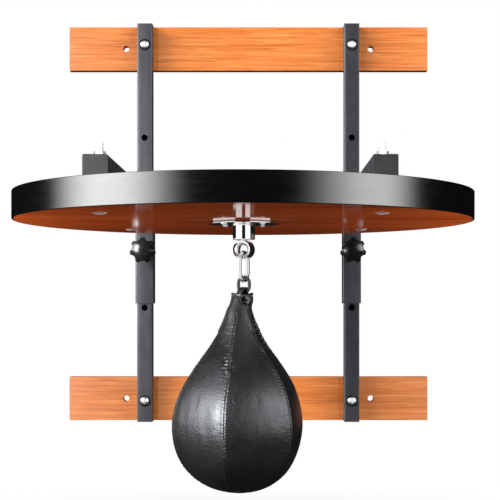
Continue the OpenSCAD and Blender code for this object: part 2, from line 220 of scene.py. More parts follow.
def knob_plastic():
    """Glossy moulded plastic, a little duller in patches."""
    plastic = clouded("knob_plastic", (120.0, 3.0),
                      (0.007, 0.007, 0.008), (0.014, 0.014, 0.015), 0.16, 0.28)
    plastic.set("Normal", plastic.bump(plastic.noise(900.0, 2.0), 0.05, 0.0002))
    return plastic


def plated(name, dark, bright, low, high, scratch=0.15):
    """Plated metal: cloudy tone, fine scratches and uneven roughness."""
    metal = clouded(name, (90.0, 4.0, 0.6), dark, bright, low, high, Metallic=1.0)
    metal.set("Normal", metal.bump(metal.grain((300.0, 300.0, 3200.0), 3.0, 0.6), scratch, 0.0001))
    return metal


def leather():
    """Black semi-gloss leather: pebble grain, creases and a soft waxed sheen."""
    hide = clouded("leather", (24.0, 4.0, 0.6),
                   (0.006, 0.006, 0.007), (0.012, 0.012, 0.014), 0.30, 0.40, Specular_IOR_Level=0.62)
    hide.set("Specular Tint", (0.93, 0.96, 1.0))
    cells = {"Vector": hide.place, "Scale": 850.0}
    pebbles = hide.add("ShaderNodeTexVoronoi", cells, feature="SMOOTH_F1").outputs["Distance"]
    creases = hide.noise(260.0, 4.0, 0.65, distortion=0.6)
    fine = hide.bump(pebbles, 0.34, 0.0005)
    hide.set("Normal", hide.bump(creases, 0.42, 0.0007, fine))
    return hide


def woven_cord():
    """Waxed black cord with slanted strand bands. Their lighter grey is partly the cord's own tone and partly a
    painted glint.
    """
    cord = Finish("lace")
    bands = {"Vector": cord.stretched(60.0, 60.0, 190.0), "Scale": 1.0, "Distortion": 1.5,
             "Detail": 1.0, "Detail Scale": 1.0}
    strands_and_glint = cord.add("ShaderNodeTexWave", bands, bands_direction="DIAGONAL").outputs["Fac"]
    # The lighter grey is partly the cord's own tone and partly a painted glint on the stitches and lace cords.
    cord.set("Base Color", cord.mix(strands_and_glint, (0.05, 0.05, 0.052), (0.20, 0.20, 0.205)))
    cord.set("Roughness", cord.between(strands_and_glint, 0.0, 1.0, 0.4, 0.6))
    cord.set("Normal", cord.bump(strands_and_glint, 0.4, 0.0003))
    return cord


def rubber():
    """Matt latex with a powdery bloom."""
    latex = clouded("rubber", (45.0, 4.0, 0.65),
                    (0.020, 0.020, 0.021), (0.045, 0.045, 0.047), 0.6, 0.8)
    latex.set("Normal", latex.bump(latex.noise(1400.0, 2.0), 0.15, 0.0002))
    return latex


def make_finishes():
    """One material for each of the record's slots. Each finish has its slot's name."""
    made = (
        varnished_wood(),
        board_wood(),
        black_rim(),
        powder_coat(),
        black_plastic(),
        knob_plastic(),
        plated("zinc", (0.66, 0.67, 0.70), (0.84, 0.85, 0.87), 0.36, 0.46),
        plated("dark_zinc", (0.035, 0.035, 0.04), (0.09, 0.09, 0.10), 0.25, 0.40),
        plated("chrome", (0.78, 0.78, 0.79), (0.86, 0.86, 0.87), 0.03, 0.08, 0.02),
        plated("dark_steel", (0.07, 0.07, 0.075), (0.14, 0.14, 0.15), 0.08, 0.14, 0.05),
        plated("bearing_steel", (0.50, 0.50, 0.52), (0.66, 0.66, 0.68), 0.10, 0.20, 0.05),
        leather(),
        woven_cord(),
        rubber(),
    )
    return {finish.name: finish.material for finish in made}


finishes = make_finishes()


def dress(piece, slot):
    """Gives a piece one finish and names its material slot."""
    piece.data.materials.clear()
    piece.data.materials.append(finishes[slot])


def dress_frame():
    """Every CAD node gets the finish of its slot in the record."""
    for part in frame["record"]["subparts"]:
        dress(frame["nodes"][part["node"]], part["material_slot"])


# ---------------------------------------------------------------- softened edges

SHARP = math.radians(28.0)
FLAT = math.radians(0.4)
WELD_DISTANCE = 2e-6


def weld_group():
    """Geometry nodes that join split vertices and mark sharp edges, so that a bevel can follow."""
    group = bpy.data.node_groups.new("weld", "GeometryNodeTree")
    for way in ("INPUT", "OUTPUT"):
        group.interface.new_socket("Geometry", in_out=way, socket_type="NodeSocketGeometry")
    start = group.nodes.new("NodeGroupInput")
    end = group.nodes.new("NodeGroupOutput")
    merge = group.nodes.new("GeometryNodeMergeByDistance")
    merge.inputs["Distance"].default_value = WELD_DISTANCE
    normals = group.nodes.new("GeometryNodeSetMeshNormal")
    normals.mode = "SHARPNESS"
    angle = group.nodes.new("GeometryNodeInputMeshEdgeAngle")
    sharp = group.nodes.new("FunctionNodeCompare")
    sharp.inputs[1].default_value = SHARP
    group.links.new(start.outputs[0], merge.inputs[0])
    group.links.new(merge.outputs[0], normals.inputs[0])
    group.links.new(angle.outputs["Unsigned Angle"], sharp.inputs[0])
    group.links.new(sharp.outputs[0], normals.inputs["Edge Sharpness"])
    group.links.new(normals.outputs[0], end.inputs[0])
    return group


welder = weld_group()


def soften(names, radius_mm, segments=2):
    """Rounds the sharp edges of CAD nodes by a small radius."""
    for name in names:
        piece = frame["nodes"][name]
        weld = piece.modifiers.new("weld", "NODES")
        weld.node_group = welder
        flatten = piece.modifiers.new("flatten", "DECIMATE")
        flatten.decimate_type = "DISSOLVE"
        flatten.angle_limit = FLAT
        bevel = piece.modifiers.new("bevel", "BEVEL")
        bevel.width = radius_mm * MM
        bevel.segments = segments
        bevel.limit_method = "ANGLE"
        bevel.angle_limit = SHARP
        bevel.harden_normals = True


# ---------------------------------------------------------------- shared shapes

TURN = 2.0 * math.pi
PER_RADIAN = math.degrees(1.0)
UP = np.array((0.0, 0.0, 1.0))
WAVES = 9


def smooth_step(low, high, value):
    share = np.clip((value - low) / (high - low), 0.0, 1.0)
    return share * share * (3.0 - 2.0 * share)


def bump_at(centre, width, value):
    return np.exp(-((value - centre) / width) ** 2)


def wavy(u, v, seed):
    """A smooth irregular field between about -1 and 1: waves in seeded directions, about one per unit."""
    draw = np.random.RandomState(seed)
    total = 0.0
    for _ in range(WAVES):
        heading = draw.uniform(0.0, TURN)
        pitch = draw.uniform(0.5, 1.6) * TURN
        phase = draw.uniform(0.0, TURN)
        total = total + np.sin(pitch * (u * math.cos(heading) + v * math.sin(heading)) + phase)
    return total / math.sqrt(WAVES) / 1.4


def add_object(name, data):
    made = bpy.data.objects.new(name, data)
    bpy.context.scene.collection.objects.link(made)
    return made


def add_mesh(name, points, faces):
    mesh = bpy.data.meshes.new(name)
    mesh.from_pydata([tuple(point) for point in points], [], faces)
    return add_object(name, mesh)


def loop_faces(rows, columns):
    """Quads between rings of points. Each ring is closed."""
    faces = []
    for row in range(rows - 1):
        for column in range(columns):
            after = (column + 1) % columns
            a = row * columns
            b = a + columns
            faces.append((a + column, b + column, b + after, a + after))
    return faces


def turned_over(faces):
    return [tuple(reversed(face)) for face in faces]


def end_faces(rows, columns):
    """The faces that close the first and the last ring."""
    return [tuple(range(columns)), tuple(reversed(range((rows - 1) * columns, rows * columns)))]


def tube(path, radius, sides, closed=False):
    """Points and faces of a round tube along a path. An open path gets rounded ends."""
    path = np.asarray(path, float)
    sizes = np.full(len(path), radius)
    if closed:
        ahead = np.roll(path, -1, 0) - np.roll(path, 1, 0)
    else:
        first = path[0] - path[1]
        last = path[-1] - path[-2]
        first = first / np.linalg.norm(first) * radius * 0.6
        last = last / np.linalg.norm(last) * radius * 0.6
        path = np.vstack([path[0] + first, path[0] + first * 0.6, path,
                          path[-1] + last * 0.6, path[-1] + last])
        sizes = np.hstack([radius * 0.15, radius * 0.75, sizes, radius * 0.75, radius * 0.15])
        ahead = np.gradient(path, axis=0)
    ahead /= np.linalg.norm(ahead, axis=1)[:, None]
    side = np.cross(ahead[0], UP)
    if np.linalg.norm(side) < 1e-3:
        side = np.cross(ahead[0], (1.0, 0.0, 0.0))
    turn = np.arange(sides) * TURN / sides
    rings = []
    for point, direction, size in zip(path, ahead, sizes):
        side = side - direction * (side @ direction)
        side /= np.linalg.norm(side)
        up = np.cross(direction, side)
        rings.append(point + size * (np.outer(np.cos(turn), side) + np.outer(np.sin(turn), up)))
    count = len(rings)
    faces = loop_faces(count, sides)
    if closed:
        start = (count - 1) * sides
        faces += [(start + k, k, (k + 1) % sides, start + (k + 1) % sides) for k in range(sides)]
    else:
        faces += end_faces(count, sides)
    return np.vstack(rings), faces


def gather(shapes):
    """Joins several (points, faces) into one."""
    points, faces, offset = [], [], 0
    for more_points, more_faces in shapes:
        points.append(more_points)
        faces += [tuple(k + offset for k in face) for face in more_faces]
        offset += len(more_points)
    return np.vstack(points), faces


# ---------------------------------------------------------------- speed bag

bag_low, bag_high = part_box("bag_cover")
BAG_AXIS_Y = (bag_low.y + bag_high.y) / 2
BAG_TOP = bag_high.z
BAG_LENGTH = (bag_high.z - bag_low.z) / MM
BAG_RADIUS = (bag_high.x - bag_low.x) / 2 / MM
NECK_RADIUS = 14.0
NECK_LENGTH = 15.0
WIDEST = 178.0
PANELS = 6
FRONT_SEAM = math.radians(-10.0)
NECK_TWIST = math.radians(-7.0)
WALL = 1.8
LACE_AZIMUTH = math.radians(78.0)
EYELET_AZIMUTH = math.radians(12.0)
EYELET_DEPTH = 9.0
EYELET_HOLE = 3.05


def to_row(points):
    """Points in mm about the bag's top centre, as metres in the row frame."""
    return np.asarray(points) * MM + np.array((0.0, BAG_AXIS_Y, BAG_TOP))


def add_piece(name, points, faces, slot, replaced=None):
    """A new piece of the bag, from points in mm about the bag's top centre."""
    piece = add_mesh(name, to_row(points), faces)
    piece.data.validate()
    piece.data.shade_smooth()
    dress(piece, slot)
    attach(piece, "bag")
    if replaced:
        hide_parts(replaced)
    return piece


def cubic(a, b, c, d, count):
    t = np.linspace(0.0, 1.0, count)[:, None]
    s = 1.0 - t
    return s**3 * np.array(a) + 3 * s**2 * t * np.array(b) + 3 * s * t**2 * np.array(c) + t**3 * np.array(d)


def bag_outline():
    """The bag's side as (radius, depth below its top) in mm, and the distance run along it."""
    neck = np.array([[NECK_RADIUS, depth] for depth in np.linspace(0.0, NECK_LENGTH, 20)])
    shoulder = cubic((NECK_RADIUS, NECK_LENGTH), (31.2, 87.2), (BAG_RADIUS, 112.9), (BAG_RADIUS, WIDEST), 300)
    belly = cubic((BAG_RADIUS, WIDEST), (BAG_RADIUS, 217.0), (60.1, BAG_LENGTH), (0.0, BAG_LENGTH), 300)
    line = np.vstack([neck, shoulder[1:], belly[1:]])
    run = np.hstack([0.0, np.cumsum(np.linalg.norm(np.diff(line, axis=0), axis=1))])
    return line, run


OUTLINE, RUN = bag_outline()
PANEL_TURN = TURN / PANELS
SEAM_STAND = 0.058
PANEL_DRAW = 0.083
EYELET_DIP = 2.4


def radius_at(run):
    return np.interp(run, RUN, OUTLINE[:, 0])


def depth_at(run):
    return np.interp(run, RUN, OUTLINE[:, 1])


def run_at(depth):
    return np.interp(depth, OUTLINE[:, 1], RUN)


def seam_twist(depth):
    return NECK_TWIST * (1.0 - smooth_step(10.0, 120.0, depth))


def bag_surface(run, share):
    """Points of the bag's plain form, in mm about its own top centre, for distances run down the side (rows)
    and shares of the turn counted in panels from the front seam (columns). Seams stand out by a part of the
    radius, and the panels between them are flatter. The neck's edge dips at the eyelets."""
    radius = radius_at(run)[:, None]
    depth = depth_at(run)[:, None]
    azimuth = FRONT_SEAM + seam_twist(depth) + share[None, :] * PANEL_TURN
    middle = 2.0 * (share[None, :] % 1.0) - 1.0
    flat = smooth_step(8.0, 80.0, depth) * (1.0 - 0.6 * smooth_step(215.0, BAG_LENGTH, depth))
    fuller = 2.4 * bump_at(110.0, 36.0, depth) + 2.0 * bump_at(238.0, 26.0, depth)
    shaped = (radius + fuller) * (1.0 + flat * (SEAM_STAND - PANEL_DRAW * (1.0 - middle**2)))
    dip = EYELET_DIP * np.cos(azimuth - EYELET_AZIMUTH) ** 2 * (1.0 - smooth_step(0.0, 30.0, depth))
    return np.stack([shaped * np.sin(azimuth) + lean(depth), -shaped * np.cos(azimuth), -depth - dip], axis=2)


def lean(depth):
    """Where the soft bag's sections stand on X, in mm: sewn leather never hangs quite true."""
    strap = -2.3 * smooth_step(-9.0, 1.0, depth)
    shoulder = -4.0 * smooth_step(6.0, 24.0, depth)
    belly = -1.4 * smooth_step(100.0, 165.0, depth)
    return strap + shoulder + belly + 1.6 * smooth_step(200.0, BAG_LENGTH, depth)


def grid_normals(points):
    """Outward normals of a grid of points whose rows run down the bag and whose columns go round it."""
    down = np.gradient(points, axis=0)
    around = np.roll(points, -1, 1) - np.roll(points, 1, 1)
    normal = np.cross(down, around)
    return normal / np.maximum(np.linalg.norm(normal, axis=2, keepdims=True), 1e-9)


def resample(values, places, axis, periodic):
    """Catmull-Rom values of a grid at fractional places along one axis."""
    values = np.moveaxis(values, axis, 0)
    count = len(values)
    base = np.floor(places).astype(int)
    t = (places - base)[:, None, None]

    def at(index):
        return values[index % count if periodic else np.clip(index, 0, count - 1)]

    a, b, c, d = at(base - 1), at(base), at(base + 1), at(base + 2)
    out = 0.5 * (2 * b + (c - a) * t + (2 * a - 5 * b + 4 * c - d) * t**2 + (3 * b - a - 3 * c + d) * t**3)
    return np.moveaxis(out, 0, axis)


FINE_ROWS = 262
PANEL_COLUMNS = 54
COARSE_ROWS = 76
COARSE_PANEL_COLUMNS = 14
HEM_STEPS = 9
CLOTH_STEPS = 20
CLOTH_SETTINGS = {
    "quality": 6,
    "mass": 0.25,
    "tension_stiffness": 25.0,
    "compression_stiffness": 25.0,
    "shear_stiffness": 12.0,
    "bending_stiffness": 0.25,
    "vertex_group_mass": "held",
    "pin_stiffness": 1.0,
    "vertex_group_shrink": "drawn",
    "shrink_min": 0.0,
    "shrink_max": 0.035,
    "use_pressure": True,
    "uniform_pressure_force": 3.0,
}
SWELL_LIMIT = 0.65


def fine_shares():
    """Column places in panels, packed closer beside each seam."""
    even = np.arange(PANEL_COLUMNS * PANELS) / PANEL_COLUMNS
    return even - 0.11 * np.sin(TURN * even)


def seam_distance(points, share):
    """Signed distance in mm of each grid point from its nearest seam, measured round the bag."""
    radius = np.linalg.norm(points[:, :, :2], axis=2)
    nearest = np.round(share)[None, :]
    return (share[None, :] - nearest) * PANEL_TURN * radius


def simulate_swell(rest):
    """Offsets in mm of a coarse bag when its seams draw up a little and air presses its panels out."""
    rows, columns, _ = rest.shape
    points = rest.reshape(-1, 3) * MM
    trial = add_mesh("swell", points, loop_faces(rows, columns))
    held = trial.vertex_groups.new(name="held")
    drawn = trial.vertex_groups.new(name="drawn")
    for row in range(rows):
        for column in range(columns):
            index = row * columns + column
            off_seam = min(column % COARSE_PANEL_COLUMNS, -column % COARSE_PANEL_COLUMNS)
            if row < 5 or row > rows - 3:
                held.add([index], 1.0, "REPLACE")
            elif off_seam == 0:
                held.add([index], 0.25, "REPLACE")
            if off_seam < 2:
                drawn.add([index], 1.0 - 0.5 * off_seam, "REPLACE")
    cloth = trial.modifiers.new("cloth", "CLOTH")
    for name, value in CLOTH_SETTINGS.items():
        setattr(cloth.settings, name, value)
    cloth.settings.effector_weights.gravity = 0.0
    cloth.collision_settings.use_collision = False
    scene = bpy.context.scene
    for step in range(CLOTH_STEPS):
        scene.frame_set(step + 1)
    shaped = trial.evaluated_get(bpy.context.evaluated_depsgraph_get()).to_mesh()
    moved = np.zeros(len(points) * 3)
    shaped.vertices.foreach_get("co", moved)
    scene.frame_set(1)
    bpy.data.objects.remove(trial)
    normals = grid_normals(rest)
    offset = ((moved.reshape(-1, 3) - points) / MM).reshape(rest.shape)
    swell = (offset * normals).sum(axis=2)
    swell -= np.median(swell)
    typical = np.percentile(np.abs(swell), 96)
    swell = SWELL_LIMIT * np.tanh(swell / max(typical, SWELL_LIMIT))
    down = np.linspace(0.0, 1.0, rows)[:, None]
    ends = smooth_step(0.03, 0.15, down) * (1.0 - smooth_step(0.86, 0.97, down))
    return normals * (swell * ends)[:, :, None]


def swollen(run, share):
    """The bag's form with its air in: the plain form plus the simulated swell, brought up to this grid."""
    plain = bag_surface(run, share)
    coarse_run = np.linspace(0.0, RUN[-1] * 0.985, COARSE_ROWS)
    coarse_share = np.arange(COARSE_PANEL_COLUMNS * PANELS) / COARSE_PANEL_COLUMNS
    offset = simulate_swell(bag_surface(coarse_run, coarse_share))
    rows = np.clip(run / coarse_run[-1] * (COARSE_ROWS - 1), 0.0, COARSE_ROWS - 1.0)
    offset = resample(offset, rows, 0, False)
    offset = resample(offset, share * COARSE_PANEL_COLUMNS, 1, True)
    return plain + offset


def sewn_detail(points, run, share):
    """Height in mm that sewing adds to the leather: a drawn-in seam, welts, puckers and fine crinkles."""
    away = seam_distance(points, share)
    reach = np.abs(away)
    depth = depth_at(run)[:, None]
    seam = (np.round(share).astype(int) % PANELS)[None, :]
    side = np.sign(away)
    body = smooth_step(12.0, 40.0, depth) * (1.0 - smooth_step(BAG_LENGTH - 14.0, BAG_LENGTH, depth))
    groove = -1.2 * bump_at(0.0, 0.95, reach) + 0.22 * bump_at(2.6, 2.0, reach)
    along = depth / 3.9 + 0.30 * wavy(depth / 15.0, seam * 3.1, 11)
    along = along + 0.16 * wavy(depth / 6.0, away / 5.0 + seam, 13)
    ripple = np.sin(TURN * (along + 0.17 * side + 0.31 * seam + 0.03 * reach))
    near = np.exp(-reach / 3.6) * (1.0 - bump_at(0.0, 0.9, reach))
    strength = 0.34 + 0.16 * wavy(depth / 19.0, seam * 2.3 + 0.4 * side, 5)
    # Each seam is gathered hardest at a depth of its own, the front one most.
    gather_depth = np.where(seam == 0, 92.0, 88.0 + 9.0 * np.cos(seam * 2.4))
    gathered = bump_at(gather_depth, 13.0, depth) * np.where(seam == 0, 1.0, 0.55)
    puckers = ripple * near * (strength + 0.22 * gathered)
    crinkle = wavy(depth / 6.5, away / 8.0, 23) * bump_at(3.0, 7.5, reach) * gathered * 0.9
    crinkle = crinkle + 0.13 * wavy(depth / 3.4, away / 5.5 + seam, 29) * np.exp(-reach / 6.0)
    broad = 0.16 * wavy(depth / 34.0, away / 30.0 + seam, 31) * smooth_step(30.0, 90.0, depth)
    creases = 0.05 * wavy(depth / 7.0, away / 30.0 + seam * 0.7, 43) * bump_at(205.0, 26.0, depth)
    return body * (groove + puckers + crinkle) + broad + creases


def lace_slit(points, run):
    """Height in mm of the laced opening: two lips pressed up beside a sunk slit."""
    depth = depth_at(run)[:, None]
    azimuth = np.arctan2(points[:, :, 0], -points[:, :, 1])
    radius = np.linalg.norm(points[:, :, :2], axis=2)
    away = np.abs(azimuth - LACE_AZIMUTH) * radius
    within = smooth_step(36.0, 40.0, depth) * (1.0 - smooth_step(68.0, 72.0, depth))
    return within * (-1.5 * bump_at(0.0, 1.0, away) + 0.6 * bump_at(2.6, 1.6, away))


def hem_points(edge, inner):
    """Rings that roll over from the inner wall's edge to the outer wall's edge, in a half round."""
    centre = (edge + inner) / 2
    across = (edge - inner) / 2
    rise = np.linalg.norm(across, axis=1, keepdims=True) * UP
    angles = math.pi * np.arange(1, HEM_STEPS) / HEM_STEPS
    return [centre - across * math.cos(angle) + rise * math.sin(angle) for angle in angles]


def fine_runs():
    """Row places in mm down the side, packed closer at the neck."""
    even = np.linspace(0.0, 1.0, FINE_ROWS)
    return RUN[-1] * 0.9985 * (even - 0.3 * even * np.exp(-even / 0.12))


class Skin:
    """The cover's smooth outside as a grid, to lay sewn parts on it. Places are a distance run down the side
    in mm and a share of the turn in panels."""

    def __init__(self, points, run, share):
        self.points = points
        self.normals = grid_normals(points)
        self.run = run
        self.turns = np.append(share, PANELS)

    def sample(self, grid, row, column):
        upper = np.floor(row).astype(int)
        left = np.floor(column).astype(int)
        down = (row - upper)[..., None]
        right = (column - left)[..., None]
        count = grid.shape[1]
        after = (left + 1) % count
        left = left % count
        a = grid[upper, left] * (1.0 - right) + grid[upper, after] * right
        b = grid[upper + 1, left] * (1.0 - right) + grid[upper + 1, after] * right
        return a * (1.0 - down) + b * down

    def at(self, run, share, lift):
        run, share, lift = np.broadcast_arrays(run, share, lift)
        row = np.clip(np.interp(run, self.run, np.arange(len(self.run))), 0.0, len(self.run) - 1.001)
        column = np.interp(np.mod(share, PANELS), self.turns, np.arange(len(self.turns)))
        normal = self.sample(self.normals, row, column)
        normal = normal / np.linalg.norm(normal, axis=-1, keepdims=True)
        return self.sample(self.points, row, column) + normal * lift[..., None]

    def beside(self, run, seam, across):
        """The share of the turn that lies some mm beside a seam."""
        radius = radius_at(run)
        return seam + across / (radius * PANEL_TURN)


def hem_flare(run):
    """Height in mm of the neck's thick hem, with a pressed line below it."""
    depth = depth_at(run)[:, None]
    return 0.9 * (1.0 - smooth_step(0.0, 4.5, depth)) - 0.5 * bump_at(6.0, 1.6, depth)


def skin_of(form, run, share):
    """The smooth skin that strips, stitches and cords lie on: the form with its hem."""
    return Skin(form + grid_normals(form) * hem_flare(run)[:, :, None], run, share)


STRIP_START = 3.4
STRIP_WIDTH = 8.0
STRIP_THICKNESS = 1.15
STRIP_SPACING = 3.3
SEAM_SPACING = 3.7
SEAM_STITCHES_END = 208.0
THREAD_RADIUS = 0.46


def strip_end(seam):
    return 44.0 if seam == 0 else 54.0


def seam_strip(skin, seam):
    """A leather strip sewn over the top of a seam, with a round lower end."""
    half = STRIP_WIDTH / 2
    end = strip_end(seam)
    bend = end - half
    straight = np.linspace(STRIP_START, bend, 44)
    edge = STRIP_START + 0.5 * (1.0 - np.cos(np.linspace(0.0, math.pi / 2, 5)[1:]))
    arc = bend + half * np.sin(np.linspace(0.0, math.pi / 2, 12)[1:])
    run = np.hstack([straight[:1], edge, straight[2:], arc])
    width = half * np.sqrt(np.clip(1.0 - (np.maximum(run - bend, 0.0) / half) ** 2, 0.004, 1.0))
    across = np.sin(np.linspace(-1.0, 1.0, 15) * math.pi / 2)
    start_roll = np.sqrt(np.clip(1.0 - (1.0 - (run - STRIP_START) / 0.5).clip(0.0, 1.0) ** 2, 0.0, 1.0))
    end_roll = np.clip((end - run) / 0.6, 0.0, 1.0)
    roll = (start_roll * np.sqrt(1.0 - (1.0 - end_roll) ** 2))[:, None]
    crown = np.sqrt(np.clip(1.0 - np.abs(across) ** 7, 0.0, 1.0))[None, :]
    pressed = 0.22 * bump_at(0.66, 0.12, np.abs(across))[None, :]
    uneven = 0.08 * wavy(run[:, None] / 9.0, across[None, :] * 1.2 + seam * 2.0, 61)
    top = (STRIP_THICKNESS - pressed + uneven) * crown * roll
    share = skin.beside(run[:, None], seam, width[:, None] * across[None, :])
    upper = skin.at(run[:, None], share, top)
    lower = skin.at(run[:, None], share, -0.5)
    rows, columns = top.shape
    rings = np.concatenate([upper, lower[:, ::-1]], axis=1)
    points = rings.reshape(-1, 3)
    return points, turned_over(loop_faces(rows, 2 * columns)) + end_faces(rows, 2 * columns)


def stitch(skin, run, share, lift, arch=0.34, sunk=0.12, thread=THREAD_RADIUS):
    """One stitch: a short thread that dips in at both ends. run and share are its two ends."""
    places = np.linspace(0.0, 1.0, 5)
    height = lift + arch * np.sin(places * math.pi) - sunk
    path = skin.at(run[0] + (run[1] - run[0]) * places, share[0] + (share[1] - share[0]) * places, height)
    return tube(path, thread, 6)


def strip_stitches(skin, seam):
    """Two rows of stitches along a strip that meet round its end."""
    inset = STRIP_WIDTH / 2 - 1.35
    bend = strip_end(seam) - STRIP_WIDTH / 2
    lift = STRIP_THICKNESS - 0.2
    made = []
    starts = np.arange(STRIP_START + 1.6, bend - 0.5, STRIP_SPACING)
    for across in (-inset, inset):
        for start in starts:
            ends = np.array([start, start + 2.3])
            made.append(stitch(skin, ends, skin.beside(ends, seam, across), lift))
    for turn in np.radians([8.0, 52.0, 98.0, 142.0]):
        angles = np.array([turn, turn + 0.52])
        run = bend + inset * np.sin(angles)
        made.append(stitch(skin, run, skin.beside(run, seam, inset * np.cos(angles)), lift))
    return made


def seam_stitches(skin, seam):
    """Slanted stitches that draw the two panels together over the open seam."""
    made = []
    start = float(run_at(strip_end(seam) + 3.0))
    end = float(run_at(SEAM_STITCHES_END))
    for place, run in enumerate(np.arange(start, end, SEAM_SPACING)):
        reach = 1.25 + 0.2 * math.sin(place * 1.7 + seam)
        ends = np.array([run - 0.55, run + 0.55])
        share = skin.beside(ends, seam, np.array([-reach, reach]))
        made.append(stitch(skin, ends, share, 0.0, arch=0.22, sunk=0.10, thread=0.34))
    return made


def lace_share(run):
    depth = depth_at(run)
    return (LACE_AZIMUTH - FRONT_SEAM - seam_twist(depth)) / PANEL_TURN


LACE_DEPTHS = (42.0, 48.0, 54.0, 60.0, 66.0)
LACE_REACH = 5.2


def lace_cords(skin):
    """Cords over the laced opening: a bar at each pair of holes, and a small knot with its two ends."""
    made = []
    places = np.linspace(-1.0, 1.0, 15)
    arch = np.cos(places * math.pi / 2) ** 0.55
    levels = [float(run_at(depth)) for depth in LACE_DEPTHS]
    for level in levels:
        run = level + 0.25 * np.sin(places * 2.5)
        share = skin.beside(run, lace_share(run), LACE_REACH * places)
        made.append(tube(skin.at(run, share, -1.3 + 3.1 * arch), 1.12, 10))
    knot = np.linspace(0.0, TURN, 20, endpoint=False)
    run = levels[-1] + 4.2 + 1.3 * np.sin(knot)
    share = skin.beside(run, lace_share(run), 2.2 * np.cos(knot))
    made.append(tube(skin.at(run, share, 0.9 + 0.5 * np.sin(2 * knot)), 0.95, 8, closed=True))
    for side in (-1.0, 1.0):
        run = levels[-1] + 4.6 + 4.5 * np.linspace(0.0, 1.0, 8)
        share = skin.beside(run, lace_share(run), side * (1.0 + 2.2 * np.linspace(0.0, 1.0, 8)))
        made.append(tube(skin.at(run, share, 0.75), 0.85, 8))
    return made


CHAIN_YAW = math.radians(-24.0)
STRAP_RADIUS = 11.0
STRAP_THICKNESS = 3.0
STRAP_BREADTH = 9.0
STRAP_LEG = 6.6


def strap_path():
    """The strap's middle line in mm about the bag's top centre, with its outward side."""
    top = (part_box("bag_loop")[1].z - BAG_TOP) / MM
    radius = STRAP_RADIUS - STRAP_THICKNESS / 2
    along = np.array((-math.sin(CHAIN_YAW), math.cos(CHAIN_YAW), 0.0))
    leg = np.linspace(-STRAP_LEG, 0.0, 8)[:-1]
    bend = [-along * math.cos(angle) + UP * math.sin(angle) for angle in np.linspace(0.0, math.pi, 40)]
    out = np.array([-along] * len(leg) + bend + [along] * len(leg))
    height = np.hstack([leg, np.zeros(len(bend)), leg[::-1]])
    path = out * radius + np.outer(top - STRAP_RADIUS + height, UP)
    path[:, 0] += lean(-path[:, 2])
    return path, out


def make_strap():
    """The hanging loop: a folded leather strap with rounded, slightly raised edges."""
    path, out = strap_path()
    across = np.array((math.cos(CHAIN_YAW), math.sin(CHAIN_YAW), 0.0))
    turn = np.linspace(0.0, TURN, 32, endpoint=False)
    flat = np.sign(np.cos(turn)) * np.abs(np.cos(turn)) ** 0.35
    thick = np.sign(np.sin(turn)) * np.abs(np.sin(turn)) ** 0.6
    rings = []
    for place, (point, side) in enumerate(zip(path, out)):
        uneven = 0.95 + 0.05 * math.sin(place * 0.7) * math.sin(place * 0.23 + 1.0)
        hollow = 0.80 + 0.16 * np.abs(flat) ** 3
        rings.append(point + np.outer(flat * uneven * STRAP_BREADTH / 2, across)
                     + np.outer(thick * hollow * STRAP_THICKNESS / 2, side))
    faces = loop_faces(len(rings), len(turn)) + end_faces(len(rings), len(turn))
    add_piece("bag_strap", np.vstack(rings), faces, "leather", "bag_loop")


BLADDER_COLUMNS = 96
BLADDER_TOP = 47.0
BLADDER_MOUTH = 4.35
BLADDER_WALL = 1.6


def make_bladder():
    """The rubber bladder: a soft thin skin just inside the leather, drawn in round its valve."""
    columns = BLADDER_COLUMNS
    share = np.arange(columns) * PANELS / columns
    crown = BLADDER_TOP + 10.0 * np.linspace(0.0, 1.0, 14) ** 2
    depth = np.hstack([crown, np.linspace(58.5, BAG_LENGTH - 5.0, 66)])[:, None]
    plain = bag_surface(run_at(depth[:, 0]), share)
    limit = np.linalg.norm(plain[:, :, :2], axis=2) - WALL - 1.9
    limit = limit * np.sqrt(np.clip((BAG_LENGTH - 4.6 - depth) / 9.0, 0.0, 1.0))
    cap = BLADDER_MOUTH + np.sqrt(np.maximum(depth - BLADDER_TOP, 0.0) * 26.0)
    azimuth = np.arctan2(plain[:, :, 0], -plain[:, :, 1])
    soft = 0.35 * wavy(depth / 22.0, np.cos(azimuth) * 2.0, 71)
    soft = soft + 0.3 * wavy(np.sin(azimuth) * 2.0, depth / 30.0, 72)
    grown = smooth_step(50.0, 70.0, depth)
    shells = []
    for inset in (0.0, BLADDER_WALL):
        radius = np.minimum(limit - 0.5 + soft * grown, cap) - inset * grown
        radius = np.maximum(radius, 0.3)
        drop = depth + inset * (1.0 - grown) * np.minimum((depth - BLADDER_TOP) / 0.5, 1.0)
        height = np.broadcast_to(-drop, radius.shape)
        shells.append(np.stack([radius * np.sin(azimuth), -radius * np.cos(azimuth), height], axis=2))
    outer, inner = shells
    drawn_in = np.array((0.05, 0.05, 1.0))
    rings = [inner[-2] * drawn_in - 0.1 * UP, *inner[:-1][::-1], *outer, outer[-1] * drawn_in - 0.2 * UP]
    faces = turned_over(loop_faces(len(rings), columns)) + end_faces(len(rings), columns)
    add_piece("bag_air_bladder", np.vstack(rings), faces, "rubber", "bag_bladder")


def cut_eyelet_holes(cover):
    """Cuts the two holes that the eyelets' barrels sit in."""
    across = np.array((math.sin(EYELET_AZIMUTH), -math.cos(EYELET_AZIMUTH), 0.0)) * 22.0
    middle = -EYELET_DEPTH * UP
    points, faces = tube([middle - across, middle, middle + across], EYELET_HOLE, 32)
    cutter = add_mesh("cutter", to_row(points), faces)
    cut = cover.modifiers.new("eyelets", "BOOLEAN")
    cut.operation = "DIFFERENCE"
    cut.solver = "MANIFOLD"
    cut.object = cutter
    shaped = bpy.data.meshes.new_from_object(cover.evaluated_get(bpy.context.evaluated_depsgraph_get()))
    cover.modifiers.remove(cut)
    cover.data = shaped
    bpy.data.objects.remove(cutter)


